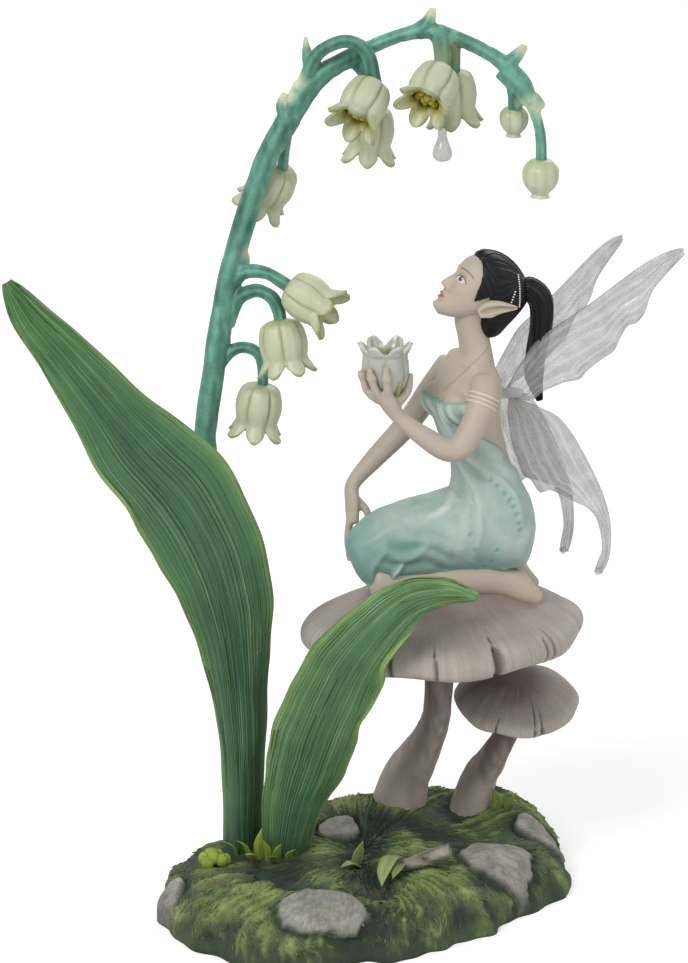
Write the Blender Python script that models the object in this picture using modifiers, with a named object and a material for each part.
"""Fairy figurine: a kneeling fairy on a mushroom beside lily-of-the-valley, cast in resin.

World frame: metres, +Z up, +X to the right as the figurine is displayed, -Y towards the viewer.
The origin is the centre of the flat underside of the base. The tables of places and radii are in
millimetres and are scaled by MM; the driving sizes are in metres.
"""
import math

import bmesh
import bpy
from mathutils import Matrix, Vector

MM = 0.001

# Fits between the castings
CLEARANCE = 0.3 * MM
SEAT_DEPTH = 5.0 * MM

# Base, a mossy mound
BASE_HEIGHT = 17.0 * MM
BASE_LENGTH = 136.0 * MM
BASE_DRAWN_LENGTH = 136.0  # what BASE_RADII draws, in millimetres
BASE_EDGE_POWER = 3.2
BASE_CENTRE = (2.0, -2.0)
BASE_RADII = (66, 75, 77, 64, 51, 45, 48, 57, 66, 68, 69, 63, 54, 51, 50, 53)
BASE_RINGS = 12
BASE_SIDES = 56

# Stones and swells of the mound: x, y, radius and rise of each
BASE_BUMPS = (
    (-12, -43, 12, 3.5), (47, -12, 12, 6.0), (62, 3, 8, 3.0), (57, 22, 12, 6.0), (-52, -4, 12, 1.0),
    (-38, 6, 12, 2.5), (-6, 31, 18, 8.0), (22, 38, 15, 7.0), (50, 42, 16, 9.0), (6, -30, 9, -3.5),
    (16, 12, 14, 3.0), (-56, -24, 10, 2.5), (30, -34, 10, 3.0),
)

# Large mushroom
CAP_RADIUS = 45.2 * MM
CAP_THICKNESS = 23.0 * MM
CAP_TILT = (-4.4, -3.0)
CAP_CENTRE = (26.0, 10.0)
CAP_TOP = 107.0 * MM
CAP_SIDES = 40
CAP_STEM_RADIUS = 6.2 * MM
CAP_STEM = ((12.8, 31.0, 0.0, 1.6), (16.0, 28.0, 16.5, 1.29), (19.5, 24.0, 25.0, 1.1), (23.1, 19.0, 34.0, 0.88),
            (25.6, 15.0, 42.0, 0.77), (26.4, 12.0, 50.0, 0.73), (26.8, 10.8, 60.0, 0.78), (27.2, 10.0, 80.0, 1.05))
CAP_CRACKS = ((216.0, 7.0, 1.2), (242.0, 11.0, 2.6), (292.0, 6.5, 1.6))
CAP_OUTLINE = (
    (0.0, 0.0), (0.26, -0.02), (0.48, -0.13), (0.65, -0.31), (0.80, -0.55), (0.90, -0.69), (0.97, -0.79),
    (1.0, -0.89), (0.985, -0.96), (0.9, -1.0), (0.6, -0.94), (0.3, -0.86), (0.0, -0.84),
)
CAP_RINGS = len(CAP_OUTLINE) - 1

# Small mushroom
SMALL_CAP_RADIUS = 20.2 * MM
SMALL_CAP_THICKNESS = 11.0 * MM
SMALL_CAP_CENTRE = (52.0, 15.0)
SMALL_CAP_TOP = 70.0 * MM
SMALL_CAP_TILT = (11.0, 1.5)
SMALL_STEM_RADIUS = 4.8 * MM
SMALL_STEM = ((36.0, 31.0, 0.0, 1.45), (40.1, 28.0, 14.4, 1.22), (43.9, 24.0, 21.8, 1.04),
              (47.5, 19.0, 29.5, 0.84), (50.3, 16.5, 36.0, 0.88), (51.6, 15.0, 44.5, 1.05))
SMALL_CAP_CRACKS = ((250.0, 4.5, 1.4), (292.0, 4.0, 1.5))

# Leaves: x, y, z, half width and cupping of the blade at each station
LEAF_THICKNESS = 2.0 * MM
LEAF_RINGS = 24
LEAF_COLUMNS = 6
TALL_LEAF = (
    (-37.2, 3.0, 12.5, 5.6, 4.5), (-36.6, 1.0, 32.0, 6.0, 4.0), (-36.6, -2.5, 51.0, 6.8, 3.5),
    (-37.2, -5.5, 69.0, 8.4, 3.0), (-38.4, -8.0, 87.0, 11.0, 2.5), (-41.0, -10.0, 104.5, 14.2, 2.0),
    (-46.0, -11.0, 122.0, 16.6, 1.5), (-55.4, -11.0, 139.4, 17.8, 1.5), (-67.8, -9.5, 153.4, 16.0, 2.0),
    (-79.6, -8.0, 168.8, 11.2, 2.0), (-91.4, -6.0, 183.4, 8.4, 1.5), (-101.4, -4.0, 195.4, 5.8, 1.0),
    (-108.6, -3.0, 206.8, 1.4, 0.0),
)
SHORT_LEAF = (
    (-23.4, -1.0, 12.5, 6.6, 3.5), (-20.4, -8.0, 34.0, 9.6, 3.0), (-15.4, -16.0, 53.0, 12.8, 2.5),
    (-9.4, -27.0, 74.0, 13.4, 2.0), (-2.0, -38.0, 93.5, 12.2, 1.5), (7.0, -42.0, 107.0, 9.6, 1.5),
    (17.0, -39.0, 114.8, 6.8, 1.5), (27.0, -32.0, 114.8, 4.4, 1.0), (37.2, -23.0, 110.6, 1.3, 0.0),
)

# Flower stem and its side stalks: x, y, z and radius
STEM = (
    (-36.0, 10.0, 12.5, 3.0), (-36.8, 10.0, 29.0, 2.9), (-39.2, 10.0, 63.7, 2.9),
    (-43.1, 10.0, 98.0, 3.1), (-46.4, 10.0, 125.0, 3.2), (-47.7, 10.0, 151.6, 3.5),
    (-45.1, 9.5, 172.0, 3.5), (-41.7, 9.0, 194.8, 3.7), (-36.6, 8.5, 217.3, 3.5),
    (-28.9, 8.0, 241.2, 3.4), (-19.2, 8.0, 259.2, 3.8), (-12.0, 8.0, 269.2, 3.4),
    (-3.7, 8.0, 274.4, 2.8), (4.0, 8.0, 278.4, 2.3), (13.2, 8.0, 282.2, 2.1),
    (22.4, 8.0, 283.6, 2.6), (33.1, 8.0, 280.4, 2.3), (42.4, 8.0, 275.4, 2.3),
    (49.6, 8.0, 268.8, 2.9), (53.6, 8.0, 261.5, 2.3), (56.4, 8.0, 252.6, 1.6),
    (57.0, 8.0, 242.6, 1.7),
)
STALKS = (
    ((-44.2, 9.5, 175.0, 2.4), (-39.6, 9.0, 180.8, 1.9), (-34.7, 8.5, 182.4, 1.6),
     (-30.9, 7.5, 180.6, 1.6), (-29.6, 7.0, 176.0, 1.7), (-29.8, 7.0, 169.7, 1.7)),
    ((-40.6, 9.0, 190.0, 2.6), (-37.5, 8.0, 198.1, 2.4), (-31.7, 4.5, 202.1, 2.2),
     (-26.7, 2.5, 200.6, 2.1), (-24.4, 1.5, 196.2, 2.0), (-24.0, 1.0, 192.2, 2.0)),
    ((-40.0, 9.0, 201.4, 2.6), (-35.5, 7.0, 207.2, 2.2), (-28.9, 4.0, 208.2, 2.1),
     (-24.2, 2.0, 206.2, 2.1), (-19.8, 0.5, 203.6, 2.1)),
    ((-20.6, 7.5, 262.0, 2.6), (-21.3, 7.5, 256.2, 2.2), (-22.3, 11.0, 247.2, 1.8),
     (-23.2, 16.0, 237.8, 1.7)),
    ((-16.0, 8.0, 267.0, 2.6), (-12.0, 5.0, 277.0, 2.2), (-4.6, 2.0, 281.6, 2.0),
     (0.9, 0.5, 280.6, 2.1), (3.9, 0.5, 276.2, 2.3), (5.4, 1.6, 267.4, 2.2)),
    ((-1.5, 9.0, 275.0, 2.2), (2.8, 11.0, 269.3, 2.2), (4.6, 13.0, 262.5, 2.0),
     (4.8, 14.0, 257.4, 1.8)),
    ((25.4, 7.5, 283.0, 3.4), (26.2, 5.5, 277.0, 2.8), (26.0, 3.2, 271.4, 2.2)),
    ((29.6, 8.0, 282.0, 3.0), (29.0, 10.5, 275.8, 2.6), (29.8, 13.6, 268.6, 2.0)),
    ((48.6, 8.5, 268.0, 2.9), (49.0, 10.0, 262.5, 2.7), (48.8, 12.0, 257.8, 2.2)),
)
BRACTS = (
    ((-35.9, 9.0, 207.6, 1.7), (-34.3, 9.5, 213.2, 0.6)), ((-19.3, 8.0, 261.8, 1.7), (-18.8, 8.0, 266.6, 0.6)),
    ((-21.4, 8.0, 259.0, 2.0), (-23.6, 8.0, 262.6, 0.9)), ((-13.8, 7.5, 271.5, 1.5), (-15.6, 7.5, 281.2, 0.5)),
    ((21.6, 8.0, 284.8, 2.4), (23.4, 8.0, 292.0, 0.7)), ((47.4, 8.0, 275.0, 1.5), (51.2, 8.0, 279.0, 0.8)),
    ((54.8, 8.0, 262.0, 1.8), (57.8, 8.0, 260.0, 0.9)),
)
STEM_VOXEL = 0.6 * MM
STEM_FACES = 1700

# Bells: crown and mouth of each hanging flower
BELL_WALL = 1.3 * MM
BELL_RADIUS = 7.5 * MM
BELL_FLARE = 9.6 * MM
BELL_LENGTH = 17.2 * MM
BELL_PETALS = 6
BELL_RINGS = 6
BELL_NOTCH = 0.24
BELLS = (
    ((-29.8, 7.0, 171.0), (-32.3, 7.0, 153.8), 0.0), ((-24.0, 0.5, 193.9), (-21.5, -2.0, 176.6), 14.0),
    ((-21.4, 0.8, 204.6), (-7.0, -5.0, 196.6), 30.0), ((-23.2, 16.0, 238.9), (-30.9, 21.0, 224.8), 25.0),
    ((5.3, 1.8, 268.6), (-0.8, -7.6, 259.4), 0.0), ((4.9, 14.0, 258.6), (3.6, 14.5, 241.2), 18.0),
    ((26.0, 3.0, 272.4), (19.9, -9.2, 264.0), 0.0), ((29.2, 14.0, 270.2), (30.4, 14.0, 254.0), 50.0),
)

# Buds, round and closed: top and bottom
BUD_RADIUS = 5.0 * MM
BUDS = (((48.7, 12.4, 259.0), (48.6, 13.0, 249.4), 0.92), ((57.0, 8.0, 243.4), (56.8, 8.0, 231.2), 1.16))

# Dew drop under the last bell
DROP_RADIUS = 3.1 * MM
DROP_LENGTH = 11.0 * MM
DROP_PLACE = (26.4, 6.6)

# Fairy: places are measured from the top of the large cap
FIGURE_VOXEL = 0.7 * MM
FIGURE_FACES = 3300
BODY_TURN = 30.0
HIP_TURN = 12.0
TORSO = (
    (18.5, -4.0, 11.0, 11.0, 8.0), (18.0, -4.0, 16.0, 14.0, 11.6), (16.5, -4.0, 23.0, 14.2, 12.4),
    (14.8, -4.0, 31.0, 12.4, 10.3), (13.5, -4.0, 38.0, 10.4, 9.0), (12.2, -4.0, 44.5, 9.8, 8.6),
    (9.8, -4.0, 51.5, 11.4, 9.6), (8.6, -4.0, 59.0, 13.0, 10.2), (9.8, -4.0, 66.0, 14.0, 8.6),
    (10.6, -4.0, 71.0, 12.4, 6.2), (11.2, -4.0, 74.5, 7.2, 5.2), (10.8, -4.0, 79.5, 5.1, 5.1),
    (10.2, -4.0, 85.0, 5.0, 5.2), (11.8, -4.2, 90.0, 4.8, 5.0),
)
BUST = ((6.6, -12.0, 59.4, 6.2), (0.5, -1.6, 59.4, 6.0))
LAP = (
    (24.5, -3.5, 14.0, 13.0, 12.5), (11.0, -5.5, 16.6, 15.4, 14.0), (-3.0, -8.5, 15.0, 15.0, 13.6),
    (-15.5, -11.0, 12.2, 13.8, 12.8), (-23.4, -12.4, 8.8, 10.8, 10.2),
)
NEAR_SHIN = (
    (-19.0, -19.0, 2.4, 6.4, 7.8), (-9.0, -17.0, 3.4, 6.6, 6.8), (3.0, -14.5, 3.8, 6.4, 6.4),
    (12.5, -12.5, 3.0, 5.2, 5.8), (19.0, -11.0, 1.4, 4.0, 5.0), (24.0, -10.0, -0.2, 3.6, 5.0),
    (27.4, -9.2, -3.2, 3.9, 4.1), (31.0, -8.2, -5.8, 3.4, 3.0),
)
FAR_SHIN = (
    (-20.0, -4.0, 3.6, 6.4, 7.4), (-8.0, -1.0, 4.4, 6.2, 6.4), (6.0, 1.0, 4.6, 5.8, 6.2),
    (16.0, 1.6, 3.4, 4.6, 5.4), (23.0, 2.0, 0.6, 3.8, 5.2), (27.0, 2.6, -2.8, 3.8, 4.1),
    (30.4, 3.2, -5.4, 3.4, 3.0),
)
NEAR_ARM = (
    (15.6, -14.6, 67.6, 5.0, 5.0), (14.6, -19.0, 63.6, 4.8, 4.8), (11.4, -22.0, 56.5, 4.4, 4.4),
    (6.8, -23.6, 49.6, 4.2, 4.2), (1.6, -24.2, 49.2, 3.9, 3.9), (-5.6, -24.4, 53.6, 3.2, 3.2),
    (-12.4, -24.0, 59.0, 2.4, 2.4), (-15.6, -23.0, 63.0, 4.2, 2.6), (-17.6, -22.0, 66.2, 4.6, 2.2),
)
FAR_ARM = (
    (3.6, 6.6, 67.0, 4.8, 4.8), (-2.4, 9.4, 58.0, 4.3, 4.3), (-7.6, 10.0, 50.0, 3.9, 3.9),
    (-12.4, 9.4, 44.0, 3.8, 3.8), (-20.0, 6.5, 35.2, 3.2, 3.2), (-26.2, 3.5, 28.2, 2.5, 2.5),
    (-26.8, 1.6, 23.6, 3.2, 2.2), (-27.4, -0.6, 18.0, 3.4, 2.0), (-27.2, -2.6, 11.5, 2.4, 1.6),
)
FINGERS = (
    ((-17.6, -23.6, 64.0, 1.5), (-20.4, -25.4, 69.0, 1.35), (-22.2, -25.6, 75.6, 1.1)),
    ((-15.6, -24.4, 64.6, 1.5), (-16.6, -26.0, 70.0, 1.4), (-17.0, -26.4, 76.2, 1.1)),
    ((-19.0, -22.4, 64.4, 1.5), (-23.0, -22.8, 68.0, 1.3), (-24.6, -21.6, 73.6, 1.1)),
    ((-13.6, -22.6, 63.6, 1.7), (-10.4, -19.6, 66.6, 1.5), (-9.4, -17.6, 71.2, 1.2)),
    ((-26.0, 2.6, 24.0, 1.6), (-22.8, 0.6, 22.8, 1.5), (-20.6, -0.6, 21.4, 1.3)),
)
HEAD_CENTRE = (11.9, -4.5, 94.8)
HEAD_PITCH = 35.0
HEAD_TURN = 12.0
HEAD_SIZE = 1.05
HEAD = (
    (-11.7, 6.2, 1.4, 1.4), (-10.6, 5.4, 3.2, 3.4), (-8.4, 3.9, 4.8, 5.1), (-5.5, 2.2, 6.0, 6.8),
    (-2.0, 0.9, 6.9, 8.1), (2.0, 0.2, 7.5, 8.9), (6.0, -0.3, 7.3, 8.9), (9.0, -0.7, 5.8, 7.2),
    (11.0, -0.9, 3.2, 4.0),
)
HAIR = (
    (-10.0, -9.0, 2.5, 2.0), (-7.5, -8.5, 5.5, 4.2), (-3.0, -7.2, 7.6, 6.2), (1.0, -6.0, 8.5, 8.0),
    (5.0, -4.4, 8.7, 9.8), (8.5, -2.9, 7.9, 10.0), (11.0, -1.8, 5.8, 7.8), (12.7, -1.4, 2.4, 3.6),
)
NOSE = ((8.8, 0.6, 1.0), (10.8, -3.0, 1.2), (9.0, -4.4, 1.3))
EAR = ((6.8, -2.0, -4.8, 1.6, 0.9), (7.6, -3.2, -2.4, 2.6, 1.1), (8.8, -5.6, 0.2, 1.9, 1.0),
       (10.2, -9.4, 2.8, 0.7, 0.6))
PONYTAIL = (
    (24.0, -4.0, 95.6, 3.4, 3.4), (28.4, -3.5, 94.9, 3.7, 3.7), (31.6, -2.5, 90.6, 3.8, 3.8),
    (31.8, -2.0, 82.0, 3.4, 3.4), (30.2, -2.0, 73.0, 3.0, 3.0), (29.8, -2.0, 65.0, 2.8, 2.6),
    (31.8, -2.0, 57.5, 0.9, 0.9),
)

# Flower cup in the near hand, measured from the top of the large cap
CUP_PLACE = (-17.2, -18.0, 65.0)
CUP_HEIGHT = 16.8 * MM
CUP_RADIUS = 7.3 * MM
CUP_FLARE = 8.8 * MM
CUP_WALL = 1.4 * MM
CUP_PETALS = 6
CUP_NOTCH = 0.2

# Wings: sideways and upward places of the outline from the wing's root
WING_THICKNESS = 1.3 * MM
WING_PEG_RADIUS = 1.9 * MM
WING_PEG_LENGTH = 6.0 * MM
UPPER_LOBE = (
    (1.0, 3.0), (3.6, 8.0), (9.7, 17.5), (16.5, 22.8), (26.7, 30.3), (34.4, 36.6), (43.2, 43.4),
    (50.3, 47.3), (54.6, 48.4), (55.2, 46.2), (49.5, 39.5), (45.4, 33.9), (43.4, 27.6), (41.0, 24.0),
    (38.0, 22.6), (35.8, 18.8), (33.8, 14.4), (30.0, 11.6), (25.5, 7.6), (23.2, 4.9), (19.0, 3.9),
    (15.0, 2.2), (11.5, 0.4), (7.6, -2.4),
)
LOWER_LOBE = (
    (11.6, -5.1), (17.0, -8.4), (21.2, -13.9), (25.1, -21.2), (28.3, -28.0), (31.0, -35.2),
    (32.7, -42.6), (32.9, -50.0), (32.0, -55.6), (29.8, -60.2), (27.4, -59.4), (28.4, -56.2),
    (29.9, -51.4), (28.7, -43.2), (26.1, -38.8), (21.5, -36.2), (17.2, -33.8), (13.2, -32.2),
    (10.4, -33.0), (7.4, -28.7), (5.2, -27.2), (3.3, -21.8), (1.4, -15.2), (0.6, -6.0),
)
WINGS = (
    ("left_wing", (20.8, -2.6, 61.0), -5.0, 0.0, 1.5, 1.0),
    ("right_wing", (15.8, 6.0, 61.0), 45.0, -10.5, 3.8, 1.12),
)

RESIN_GREEN = (0.12, 0.30, 0.16, 1.0)
RESIN_TEAL = (0.10, 0.34, 0.26, 1.0)
RESIN_CREAM = (0.80, 0.80, 0.58, 1.0)
RESIN_TAUPE = (0.36, 0.32, 0.30, 1.0)
RESIN_MOSS = (0.16, 0.20, 0.07, 1.0)
RESIN_SKIN = (0.72, 0.62, 0.50, 1.0)
RESIN_PEARL = (0.66, 0.66, 0.70, 1.0)
RESIN_CLEAR = (0.75, 0.77, 0.78, 1.0)


def clear_scene():
    """Empty the scene of whatever the file starts with."""
    for obj in list(bpy.data.objects):
        bpy.data.objects.remove(obj, do_unlink=True)


def make_collection(name):
    """Return a new collection linked to the scene."""
    collection = bpy.data.collections.new(name)
    bpy.context.scene.collection.children.link(collection)
    return collection


def make_material(name, colour, roughness, metallic=0.0):
    """Return a Principled material with the piece's colour and finish."""
    material = bpy.data.materials.new(name)
    material.use_nodes = True
    shader = material.node_tree.nodes["Principled BSDF"]
    shader.inputs["Base Color"].default_value = colour
    shader.inputs["Roughness"].default_value = roughness
    shader.inputs["Metallic"].default_value = metallic
    material.diffuse_color = colour
    return material


def add_object(name, mesh, collection, material=None):
    """Link a mesh as a new object, smooth shaded, with its material."""
    obj = bpy.data.objects.new(name, mesh)
    collection.objects.link(obj)
    if material:
        mesh.materials.append(material)
    mesh.shade_smooth()
    mesh.set_sharp_from_angle(angle=math.radians(50))
    return obj


def surface(name, place, along, around, collection, material=None):
    """Bend a grid into a surface: place(u, v) gives the point, u around and v along."""
    bm = bmesh.new()
    bmesh.ops.create_grid(bm, x_segments=around, y_segments=along, size=1.0)
    for vert in bm.verts:
        vert.co = place((vert.co.x + 1.0) / 2.0, (vert.co.y + 1.0) / 2.0)
    bmesh.ops.remove_doubles(bm, verts=bm.verts, dist=1e-6)
    bmesh.ops.recalc_face_normals(bm, faces=bm.faces)
    mesh = bpy.data.meshes.new(name)
    bm.to_mesh(mesh)
    bm.free()
    return add_object(name, mesh, collection, material)


def blend(rows, v):
    """Read a row of values at v from 0 to 1 along a list of rows, with a smooth curve."""
    place = min(max(v, 0.0), 1.0) * (len(rows) - 1)
    k = min(int(place), len(rows) - 2)
    t = place - k
    before = rows[max(k - 1, 0)]
    after = rows[min(k + 2, len(rows) - 1)]
    values = []
    for p0, p1, p2, p3 in zip(before, rows[k], rows[k + 1], after):
        slope = 2.0 * p0 - 5.0 * p1 + 4.0 * p2 - p3
        bend = 3.0 * (p1 - p2) + p3 - p0
        values.append(p1 + 0.5 * t * (p2 - p0 + t * (slope + t * bend)))
    return values


def loft(name, rows, across, collection, steps=4, sides=16):
    """Skin a closed limb over rows of x, y, z, half width and half depth, in metres.

    across is the direction that the half width is measured in.
    """
    rings = (len(rows) - 1) * steps

    def centre(v):
        return Vector(blend(rows, v)[:3])

    def place(u, v):
        ring = round(v * (rings + 2)) - 1
        inside = min(max(ring, 0), rings) / rings
        tangent = (centre(inside + 0.01) - centre(inside - 0.01)).normalized()
        half_width, half_depth = blend(rows, inside)[3:5]
        if ring < 0 or ring > rings:
            reach = 0.45 * min(half_width, half_depth)
            return centre(inside) + tangent * (reach if ring > rings else -reach)
        side = (across - tangent * across.dot(tangent)).normalized()
        front = tangent.cross(side)
        angle = 2.0 * math.pi * u
        return centre(inside) + side * half_width * math.cos(angle) + front * half_depth * math.sin(angle)

    return surface(name, place, rings + 2, sides, collection)


def tube(name, rows, collection):
    """Make a round tube of changing radius from rows of x, y, z and radius, as a mesh."""
    points = [blend(rows, k / (4 * (len(rows) - 1))) for k in range(4 * (len(rows) - 1) + 1)]
    curve = bpy.data.curves.new(name, "CURVE")
    curve.dimensions = "3D"
    curve.bevel_depth = MM
    curve.bevel_resolution = 3
    curve.use_fill_caps = True
    spline = curve.splines.new("POLY")
    spline.points.add(len(points) - 1)
    for point, (x, y, z, radius) in zip(spline.points, points):
        point.co = (x * MM, y * MM, z * MM, 1.0)
        point.radius = radius
    return curve_to_mesh(bpy.data.objects.new(name, curve), collection)


def curve_to_mesh(curve_object, collection, material=None):
    """Replace a curve object by a welded mesh object in the same place."""
    collection.objects.link(curve_object)
    bpy.context.view_layer.update()
    evaluated = curve_object.evaluated_get(bpy.context.evaluated_depsgraph_get())
    mesh = bpy.data.meshes.new_from_object(evaluated)
    name = curve_object.name
    place = curve_object.matrix_world.copy()
    bpy.data.objects.remove(curve_object, do_unlink=True)
    bm = bmesh.new()
    bm.from_mesh(mesh)
    bmesh.ops.remove_doubles(bm, verts=bm.verts, dist=1e-6)
    bmesh.ops.recalc_face_normals(bm, faces=bm.faces)
    bm.to_mesh(mesh)
    bm.free()
    obj = add_object(name, mesh, collection, material)
    obj.matrix_world = place
    return obj


def bake(obj):
    """Turn an object's modifiers and placement into plain mesh, leaving it at the origin."""
    bpy.context.view_layer.update()
    evaluated = obj.evaluated_get(bpy.context.evaluated_depsgraph_get())
    mesh = bpy.data.meshes.new_from_object(evaluated)
    mesh.transform(obj.matrix_world)
    obj.modifiers.clear()
    obj.data = mesh
    obj.matrix_world = Matrix.Identity(4)
    return obj


def merge(name, pieces, collection, material=None):
    """Join overlapping closed meshes into the mesh of one object."""
    bm = bmesh.new()
    for piece in pieces:
        bake(piece)
        bm.from_mesh(piece.data)
        bpy.data.objects.remove(piece, do_unlink=True)
    mesh = bpy.data.meshes.new(name)
    bm.to_mesh(mesh)
    bm.free()
    return add_object(name, mesh, collection, material)


def fuse(name, pieces, voxel, faces, collection, material):
    """Fuse overlapping limbs into one skin with about the given number of triangles."""
    obj = merge(name, pieces, collection, material)
    remesh = obj.modifiers.new("one_skin", "REMESH")
    remesh.mode = "VOXEL"
    remesh.voxel_size = voxel
    bake(obj)
    smooth = obj.modifiers.new("soften", "SMOOTH")
    smooth.iterations = 2
    reduce = obj.modifiers.new("lighten", "DECIMATE")
    reduce.ratio = min(1.0, faces / (2.0 * len(obj.data.polygons)))
    reduce.use_collapse_triangulate = True
    return bake(obj)


def combine(target, tool, operation):
    """Apply one exact Boolean of tool on target, and keep the result as plain mesh."""
    boolean = target.modifiers.new(operation.lower(), "BOOLEAN")
    boolean.operation = operation
    boolean.object = tool
    boolean.solver = "EXACT"
    bake(target)
    if operation == "UNION":
        bpy.data.objects.remove(tool, do_unlink=True)
    return target


def grown(source, amount, cutters):
    """Return a cutter: a copy of a closed mesh swollen by amount along its normals."""
    bm = bmesh.new()
    bm.from_mesh(source.data)
    bm.normal_update()
    for vert, place in [(vert, vert.co + vert.normal * vert.calc_shell_factor() * amount) for vert in bm.verts]:
        vert.co = place
    mesh = bpy.data.meshes.new(source.name + "_cutter")
    bm.to_mesh(mesh)
    bm.free()
    cutter = add_object(mesh.name, mesh, cutters)
    cutter.hide_render = True
    cutter.display_type = "WIRE"
    return cutter


def drop_crumbs(obj):
    """Keep only the largest body of a mesh, without the crumbs that a seat can cut loose."""
    bm = bmesh.new()
    bm.from_mesh(obj.data)
    bodies = []
    unseen = set(bm.verts)
    while unseen:
        body = set()
        edge_of_body = {unseen.pop()}
        while edge_of_body:
            vert = edge_of_body.pop()
            body.add(vert)
            edge_of_body.update(edge.other_vert(vert) for edge in vert.link_edges
                                if edge.other_vert(vert) not in body)
        unseen -= body
        bodies.append(body)
    bodies.sort(key=len)
    for body in bodies[:-1]:
        bmesh.ops.delete(bm, geom=list(body), context="VERTS")
    bm.to_mesh(obj.data)
    bm.free()
    return obj


def seat(carrier, piece, cutters):
    """Cut a close-fitting seat for piece into its carrier."""
    return drop_crumbs(combine(carrier, grown(piece, CLEARANCE, cutters), "DIFFERENCE"))


def ellipsoid(name, x, y, z, radius, collection):
    """Return a ball at a place in metres."""
    bm = bmesh.new()
    bmesh.ops.create_uvsphere(bm, u_segments=16, v_segments=10, radius=radius)
    bmesh.ops.translate(bm, verts=bm.verts, vec=(x, y, z))
    mesh = bpy.data.meshes.new(name)
    bm.to_mesh(mesh)
    bm.free()
    return add_object(name, mesh, collection)


def base_height(x, y):
    """Height of the mound above the underside at x, y in millimetres, before its edge is rounded."""
    height = BASE_HEIGHT / MM
    for bump_x, bump_y, radius, rise in BASE_BUMPS:
        away = ((x - bump_x) ** 2 + (y - bump_y) ** 2) / radius ** 2
        height += rise * math.exp(-away)
    return height * MM


def on_base(x, y, z):
    """Move a place in millimetres with the base's length: wholly near the ground, hardly above six base heights."""
    share = 1.0 / (1.0 + (z * MM / (3.0 * BASE_HEIGHT)) ** 4)
    pull = 1.0 + (BASE_LENGTH / MM / BASE_DRAWN_LENGTH - 1.0) * share
    return x * pull, y * pull, z


def make_base(parts, material):
    """Mossy mound with a flat underside and a rounded, uneven edge."""
    stretch = BASE_LENGTH / BASE_DRAWN_LENGTH

    def place(u, v):
        turn = u * len(BASE_RADII)
        k = int(turn) % len(BASE_RADII)
        near = [(BASE_RADII[(k + step) % len(BASE_RADII)],) for step in (-1, 0, 1, 2)]
        radius = blend(near, (1.0 + turn - int(turn)) / 3.0)[0]
        angle = 2.0 * math.pi * u
        ring = round(v * BASE_RINGS)
        if ring == 0:
            return Vector((BASE_CENTRE[0] * stretch, BASE_CENTRE[1] * stretch, 0.0))
        rise = 0.5 * math.pi * (ring - 1) / (BASE_RINGS - 1)
        share = max(math.cos(rise), 0.0) ** (2.0 / BASE_EDGE_POWER)
        if ring == BASE_RINGS:
            share = 0.0
        x = BASE_CENTRE[0] + radius * share * math.cos(angle)
        y = BASE_CENTRE[1] + radius * share * math.sin(angle)
        lift = math.sin(rise) ** (2.0 / BASE_EDGE_POWER)
        return Vector((x * stretch, y * stretch, base_height(x, y) * lift))

    return surface("base", place, BASE_RINGS, BASE_SIDES, parts, material)


def cap_profile(radius, thickness, v):
    """Radius and height below the top of a mushroom cap: v runs from the top over the rim to the underside."""
    share, drop = CAP_OUTLINE[round(v * CAP_RINGS)]
    return share * radius, drop * thickness


def make_mushroom(name, sizes, stem, cracks, parts, cutters, material):
    """Cap and stem cast in one piece, with cracks at the cap's rim."""
    radius, thickness, top, tilt, stem_radius = sizes

    def place(u, v):
        reach, drop = cap_profile(radius, thickness, v)
        angle = 2.0 * math.pi * u
        wave = 1.0 + 0.014 * math.sin(3.0 * angle + 0.6) + 0.010 * math.sin(5.0 * angle)
        reach *= wave if reach < radius * 0.99 else wave + 0.004 * math.sin(11.0 * angle)
        droop = 0.05 * thickness * math.sin(2.0 * angle + 0.9) * (reach / radius) ** 2
        return Vector((reach * math.cos(angle), reach * math.sin(angle), drop + droop))

    cap = surface(name, place, CAP_RINGS, CAP_SIDES, parts, material)
    for direction, depth, width in cracks:
        bm = bmesh.new()
        bmesh.ops.create_cone(bm, segments=3, radius1=1.0, radius2=1.0, depth=2.4 * thickness, cap_ends=True)
        bmesh.ops.rotate(bm, verts=bm.verts, matrix=Matrix.Rotation(math.pi, 3, "Z"))
        bmesh.ops.scale(bm, verts=bm.verts, vec=(depth * MM, width * MM, 1.0))
        bmesh.ops.translate(bm, verts=bm.verts, vec=(radius + 0.4 * depth * MM - 0.5 * MM, 0.0, -0.8 * thickness))
        bmesh.ops.rotate(bm, verts=bm.verts, matrix=Matrix.Rotation(math.radians(direction), 3, "Z"))
        mesh = bpy.data.meshes.new(name + "_crack")
        bm.to_mesh(mesh)
        bm.free()
        crack = add_object(mesh.name, mesh, cutters)
        crack.hide_render = True
        crack.display_type = "WIRE"
        combine(cap, crack, "DIFFERENCE")
    lean = Matrix.Rotation(math.radians(tilt[0]), 4, "X") @ Matrix.Rotation(math.radians(tilt[1]), 4, "Y")
    cap.matrix_world = Matrix.Translation(top) @ lean
    bake(cap)
    foot = BASE_HEIGHT - SEAT_DEPTH
    rise = (top.z - 0.6 * thickness - foot) / (stem[-1][2] * MM)
    rows = [(*on_base(x, y, (foot + z * rise * MM) / MM), share * stem_radius / MM) for x, y, z, share in stem]
    return combine(cap, tube(name + "_stem", rows, cutters), "UNION")


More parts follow.
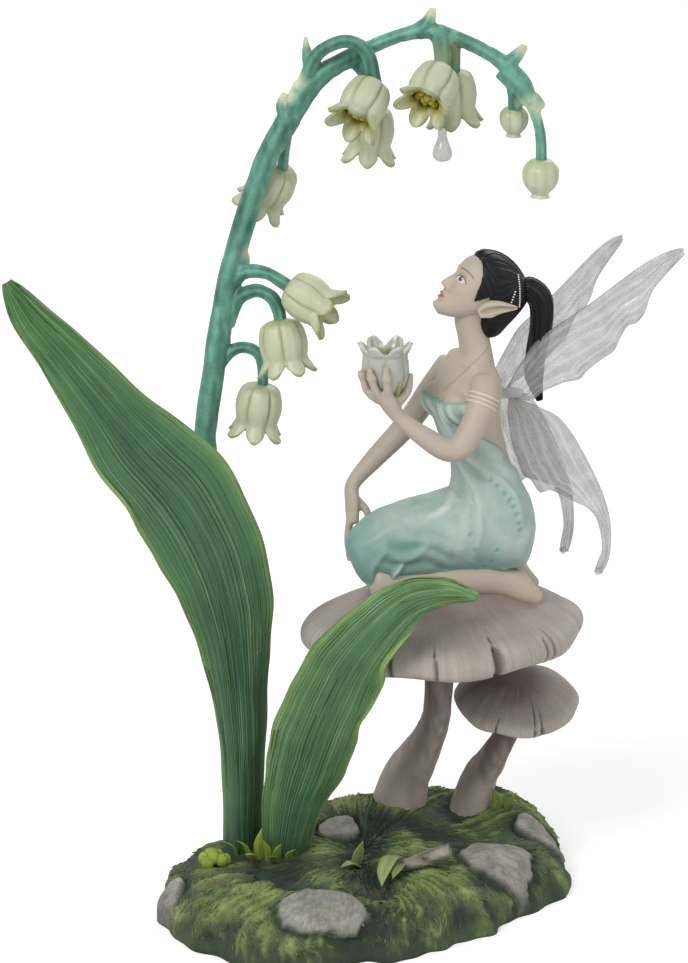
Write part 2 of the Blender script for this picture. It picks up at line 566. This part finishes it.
def make_leaf(name, stations, parts, material):
    """Leaf blade: a cupped sheet along its stations, thickened."""
    stations = [(*on_base(*station[:3]), *station[3:]) for station in stations]

    def place(u, v):
        x, y, z, half, cupping = blend(stations, v)
        ahead = blend(stations, v + 0.01)
        behind = blend(stations, v - 0.01)
        run = Vector((ahead[0] - behind[0], ahead[1] - behind[1], ahead[2] - behind[2])).normalized()
        outward = Vector((0.0, -1.0, 0.0))
        side = run.cross(outward).normalized()
        front = side.cross(run).normalized()
        s = 2.0 * u - 1.0
        point = Vector((x, y, z)) + side * s * half + front * cupping * (1.0 - 2.0 * s * s)
        return point * MM

    leaf = surface(name, place, LEAF_RINGS, LEAF_COLUMNS, parts, material)
    wall = leaf.modifiers.new("thickness", "SOLIDIFY")
    wall.thickness = LEAF_THICKNESS
    wall.offset = 0.0
    return bake(leaf)


def aim(start, end, roll):
    """Placement that stands local -Z along start to end, turned by roll about it."""
    down = (Vector(end) - Vector(start)).normalized()
    turn = down.to_track_quat("-Z", "Y").to_matrix().to_4x4()
    return Matrix.Translation(Vector(start) * MM) @ turn @ Matrix.Rotation(math.radians(roll), 4, "Z")


def petal_point(u, v, outline, petals, notch):
    """Point on a ring of joined petals: outline rows are radius and length, petal edges dip by notch."""
    radius, length = blend(outline, v)
    angle = 2.0 * math.pi * u
    crest = abs(math.cos(0.5 * petals * angle)) ** 0.8
    free = max(0.0, (v - 0.55) / 0.45) ** 2
    radius *= 1.0 - 0.07 * (1.0 - crest) * math.sin(math.pi * min(1.0, v * 1.15))
    radius *= 1.0 - 0.10 * (1.0 - crest) * free
    length *= 1.0 - notch * (1.0 - crest) * free
    return Vector((radius * math.cos(angle), radius * math.sin(angle), -length))


def bell_outline():
    """Outline of a bell from crown to petal tips: radius and distance below the crown."""
    shares = ((0.0, 0.0), (0.56, 0.02), (0.85, 0.13), (0.97, 0.30), (1.0, 0.50), (0.98, 0.68))
    outline = [(BELL_RADIUS * wide, BELL_LENGTH * deep) for wide, deep in shares]
    outline.append((0.45 * BELL_RADIUS + 0.55 * BELL_FLARE, 0.87 * BELL_LENGTH))
    outline.append((BELL_FLARE, BELL_LENGTH))
    return outline


def make_shell(name, outline, petals, notch, wall, collections, material):
    """Hollow flower of joined petals, open at its mouth, and a closed plug of its outside as a cutter."""
    parts, cutters = collections

    def place(u, v):
        return petal_point(u, v, outline, petals, notch)

    def plug_place(u, v):
        ring = round(v * (BELL_RINGS + 1))
        if ring > BELL_RINGS:
            return Vector((0.0, 0.0, -0.9 * outline[-1][1]))
        return place(u, ring / BELL_RINGS)

    shell = surface(name, place, BELL_RINGS, 3 * petals, parts, material)
    outward = sum(face.normal.xy.dot(face.center.xy) for face in shell.data.polygons)
    if outward < 0.0:
        shell.data.flip_normals()
    skin = shell.modifiers.new("wall", "SOLIDIFY")
    skin.thickness = wall
    skin.offset = -1.0
    plug = surface(name + "_plug", plug_place, BELL_RINGS + 1, 3 * petals, cutters)
    plug.hide_render = True
    plug.display_type = "WIRE"
    return shell, plug


def make_bells(collections, material):
    """Eight bells on the stem, and their plugs."""
    bells = []
    for number, (crown, mouth, roll) in enumerate(BELLS, start=1):
        pair = make_shell(f"bell_{number}", bell_outline(), BELL_PETALS, BELL_NOTCH, BELL_WALL, collections,
                          material)
        for piece in pair:
            piece.matrix_world = aim(crown, mouth, roll)
            bake(piece)
        bells.append(pair)
    return bells


def make_buds(parts, material):
    """Two closed buds, each a ribbed ball with a small crown of petal tips below."""
    buds = []
    for number, (top, bottom, size) in enumerate(BUDS, start=1):
        length = (Vector(bottom) - Vector(top)).length * MM
        radius = BUD_RADIUS * size
        outline = ((0.0, 0.0), (0.62, 0.05), (0.94, 0.22), (1.0, 0.42), (0.92, 0.62), (0.62, 0.82), (0.5, 0.92),
                   (0.56, 1.0), (0.0, 0.97))

        def place(u, v, outline=outline, radius=radius, length=length):
            share, deep = outline[round(v * (len(outline) - 1))]
            rib = 1.0 - 0.05 * abs(math.sin(6.0 * math.pi * u))
            angle = 2.0 * math.pi * u
            return Vector((share * radius * rib * math.cos(angle), share * radius * rib * math.sin(angle),
                           -deep * length))

        bud = surface(f"bud_{number}", place, 8, 24, parts, material)
        bud.matrix_world = aim(top, bottom, 0.0)
        buds.append(bake(bud))
    return buds


def make_flower_stem(bells, buds, collections, material):
    """Arching stem with its side stalks and bracts in one casting, seated on the crowns of its flowers."""
    parts, cutters = collections
    main_stem = [(*on_base(*row[:3]), row[3]) for row in STEM]
    rows_of_all = [main_stem, *STALKS, *BRACTS]
    pieces = [tube(f"stalk_{k}", rows, cutters) for k, rows in enumerate(rows_of_all)]
    stem = fuse("flower_stem", pieces, STEM_VOXEL, STEM_FACES, parts, material)
    for _, plug in bells:
        seat(stem, plug, cutters)
    for bud in buds:
        seat(stem, bud, cutters)
    return stem


def make_drop(collections, bell, material):
    """Clear dew drop: a turned tear that hangs from the front petal of the last bell."""
    parts, cutters = collections
    lowest = min(vert.co.z for vert in bell.data.vertices
                 if (vert.co.xy - Vector(DROP_PLACE) * MM).length < DROP_RADIUS)
    shares = ((0.001, 1.0), (0.32, 0.985), (0.42, 0.8), (0.6, 0.58), (0.9, 0.34), (1.0, 0.2), (0.8, 0.06),
              (0.001, 0.0))
    bm = bmesh.new()
    rings = []
    for wide, high in shares:
        rings.append(bm.verts.new((wide * DROP_RADIUS, 0.0, high * DROP_LENGTH)))
    for upper, lower in zip(rings, rings[1:]):
        bm.edges.new((upper, lower))
    mesh = bpy.data.meshes.new("dew_drop")
    bm.to_mesh(mesh)
    bm.free()
    drop = add_object("dew_drop", mesh, parts, material)
    screw = drop.modifiers.new("turn", "SCREW")
    screw.steps = 20
    screw.render_steps = 20
    screw.use_merge_vertices = True
    screw.merge_threshold = 0.00001
    drop.location = (DROP_PLACE[0] * MM, DROP_PLACE[1] * MM, lowest + 1.6 * MM - DROP_LENGTH)
    bake(drop)
    return seat(drop, bell, cutters)


def figure(rows):
    """Turn rows measured in millimetres from the top of the large cap into metres in the world."""
    origin = (CAP_CENTRE[0], CAP_CENTRE[1], CAP_TOP / MM)
    return [[(value + origin[k] if k < 3 else value) * MM for k, value in enumerate(row)] for row in rows]


def facing(turn):
    """Direction across a body that faces -X and is turned towards the viewer by turn degrees."""
    angle = math.radians(turn)
    return Vector((math.sin(angle), -math.cos(angle), 0.0))


def head_frame():
    """Placement of the head: local X to its left, Y forward and Z up, tipped back to look up."""
    left = facing(HEAD_TURN)
    level = Vector((-math.cos(math.radians(HEAD_TURN)), -math.sin(math.radians(HEAD_TURN)), 0.0))
    pitch = math.radians(HEAD_PITCH)
    forward = level * math.cos(pitch) + Vector((0.0, 0.0, math.sin(pitch)))
    up = left.cross(forward) * -1.0
    up = up if up.z > 0.0 else up * -1.0
    frame = Matrix((left, forward, up)).transposed().to_4x4()
    return Matrix.Translation(Vector(figure([HEAD_CENTRE])[0])) @ frame


def make_head(cutters):
    """Head, hair, nose and pointed ears as closed pieces in world space."""
    frame = head_frame()
    side = Vector((1.0, 0.0, 0.0))
    upright = Vector((0.0, 0.0, 1.0))
    size = HEAD_SIZE * MM
    skull = loft("head", [(0.0, f * size, u * size, a * size, b * size) for u, f, a, b in HEAD], side, cutters)
    hair = loft("hair", [(0.0, f * size, u * size, a * size, b * size) for u, f, a, b in HAIR], side, cutters)
    nose = loft("nose", [(0.0, f * size, u * size, r * size, r * size) for f, u, r in NOSE], side, cutters, 2, 10)
    ears = []
    for mirror in (1.0, -1.0):
        rows = [(mirror * x * size, f * size, u * size, a * size, b * size) for x, f, u, a, b in EAR]
        ears.append(loft("ear", rows, upright, cutters, 3, 10))
    pieces = [skull, hair, nose, *ears]
    for piece in pieces:
        piece.matrix_world = frame
    return pieces


def make_fairy(collections, cap, cup_plug, wings, material):
    """The fairy in one casting, seated on the cap, holding the cup, with sockets for the wings."""
    parts, cutters = collections
    body_across = facing(BODY_TURN)
    hip_across = facing(HIP_TURN)
    upright = Vector((0.0, 0.0, 1.0))
    pieces = [loft("torso", figure(TORSO), body_across, cutters), loft("lap", figure(LAP), hip_across, cutters)]
    for x, y, z, radius in figure(BUST):
        pieces.append(ellipsoid("bust", x, y, z, radius, cutters))
    for limb in (NEAR_SHIN, FAR_SHIN, NEAR_ARM, FAR_ARM):
        pieces.append(loft("limb", figure(limb), body_across, cutters, 4, 12))
    for finger in FINGERS:
        pieces.append(loft("finger", [row + [row[3]] for row in figure(finger)], upright, cutters, 3, 8))
    pieces.append(loft("ponytail", figure(PONYTAIL), body_across, cutters, 4, 12))
    pieces.extend(make_head(cutters))
    fairy = fuse("fairy", pieces, FIGURE_VOXEL, FIGURE_FACES, parts, material)
    seat(fairy, cap, cutters)
    seat(fairy, cup_plug, cutters)
    for wing in wings:
        seat(fairy, wing, cutters)
    return fairy


def make_cup(collections, material):
    """Open flower cup with flared petal tips, standing upright in the hand."""
    shares = ((0.0, 0.0), (0.55, 0.03), (0.88, 0.2), (1.0, 0.45), (0.97, 0.68), (0.96, 0.82))
    outline = [(CUP_RADIUS * wide, CUP_HEIGHT * high) for wide, high in shares]
    outline.append((0.5 * (CUP_RADIUS + CUP_FLARE), 0.93 * CUP_HEIGHT))
    outline.append((CUP_FLARE, CUP_HEIGHT))
    pair = make_shell("flower_cup", outline, CUP_PETALS, CUP_NOTCH, CUP_WALL, collections, material)
    place = Vector(figure([CUP_PLACE])[0])
    for piece in pair:
        piece.matrix_world = Matrix.Translation(place) @ Matrix.Rotation(math.pi, 4, "X")
        bake(piece)
    return pair


def turned(points, degrees, size=1.0):
    """Turn flat points about the wing's root, and size them."""
    cos, sin = size * math.cos(math.radians(degrees)), size * math.sin(math.radians(degrees))
    return [(p * cos - q * sin, p * sin + q * cos) for p, q in points]


def make_wing(name, root, yaw, upper_turn, lower_turn, lower_size, collections, material):
    """Clear wing: a flat outline of an upper and a lower lobe, with a round peg at its root."""
    parts, cutters = collections
    outline = turned(UPPER_LOBE, upper_turn) + turned(LOWER_LOBE, lower_turn, lower_size)
    curve = bpy.data.curves.new(name, "CURVE")
    curve.dimensions = "2D"
    curve.fill_mode = "BOTH"
    curve.extrude = WING_THICKNESS / 2.0
    spline = curve.splines.new("POLY")
    spline.points.add(len(outline) - 1)
    spline.use_cyclic_u = True
    for point, (p, q) in zip(spline.points, outline):
        point.co = (p * MM, q * MM, 0.0, 1.0)
    wing = curve_to_mesh(bpy.data.objects.new(name, curve), parts, material)
    bm = bmesh.new()
    bmesh.ops.create_cone(bm, segments=20, radius1=WING_PEG_RADIUS, radius2=WING_PEG_RADIUS,
                          depth=WING_PEG_LENGTH, cap_ends=True)
    bmesh.ops.rotate(bm, verts=bm.verts, matrix=Matrix.Rotation(math.pi / 2.0, 3, "Y"))
    mesh = bpy.data.meshes.new(name + "_peg")
    bm.to_mesh(mesh)
    bm.free()
    combine(wing, add_object(mesh.name, mesh, cutters), "UNION")
    stand = Matrix.Rotation(math.radians(yaw), 4, "Z") @ Matrix.Rotation(math.pi / 2.0, 4, "X")
    wing.matrix_world = Matrix.Translation(Vector(figure([root])[0])) @ stand
    return bake(wing)


def main():
    """Build every casting of the figurine."""
    clear_scene()
    parts = make_collection("fairy_figurine")
    cutters = make_collection("cutters")
    both = (parts, cutters)
    green = make_material("leaf_paint", RESIN_GREEN, 0.5)
    teal = make_material("stem_paint", RESIN_TEAL, 0.5)
    cream = make_material("petal_paint", RESIN_CREAM, 0.45)
    taupe = make_material("mushroom_paint", RESIN_TAUPE, 0.65)
    moss = make_material("base_paint", RESIN_MOSS, 0.8)
    skin = make_material("figure_paint", RESIN_SKIN, 0.5)
    pearl = make_material("cup_paint", RESIN_PEARL, 0.3)
    clear = make_material("clear_resin", RESIN_CLEAR, 0.1)

    base = make_base(parts, moss)
    cap_place = Vector((CAP_CENTRE[0] * MM, CAP_CENTRE[1] * MM, CAP_TOP))
    large = make_mushroom("large_mushroom", (CAP_RADIUS, CAP_THICKNESS, cap_place, CAP_TILT, CAP_STEM_RADIUS),
                          CAP_STEM, CAP_CRACKS, parts, cutters, taupe)
    small_place = Vector((SMALL_CAP_CENTRE[0] * MM, SMALL_CAP_CENTRE[1] * MM, SMALL_CAP_TOP))
    small = make_mushroom("small_mushroom", (SMALL_CAP_RADIUS, SMALL_CAP_THICKNESS, small_place, SMALL_CAP_TILT,
                                             SMALL_STEM_RADIUS), SMALL_STEM, SMALL_CAP_CRACKS, parts, cutters,
                          taupe)
    tall_leaf = make_leaf("tall_leaf", TALL_LEAF, parts, green)
    short_leaf = make_leaf("short_leaf", SHORT_LEAF, parts, green)
    bells = make_bells(both, cream)
    buds = make_buds(parts, cream)
    stem = make_flower_stem(bells, buds, both, teal)
    make_drop(both, bells[-1][0], clear)
    for piece in (large, small, tall_leaf, short_leaf, stem):
        seat(base, piece, cutters)
    wings = [make_wing(*wing, both, clear) for wing in WINGS]
    _, cup_plug = make_cup(both, pearl)
    make_fairy(both, large, cup_plug, wings, skin)


main()
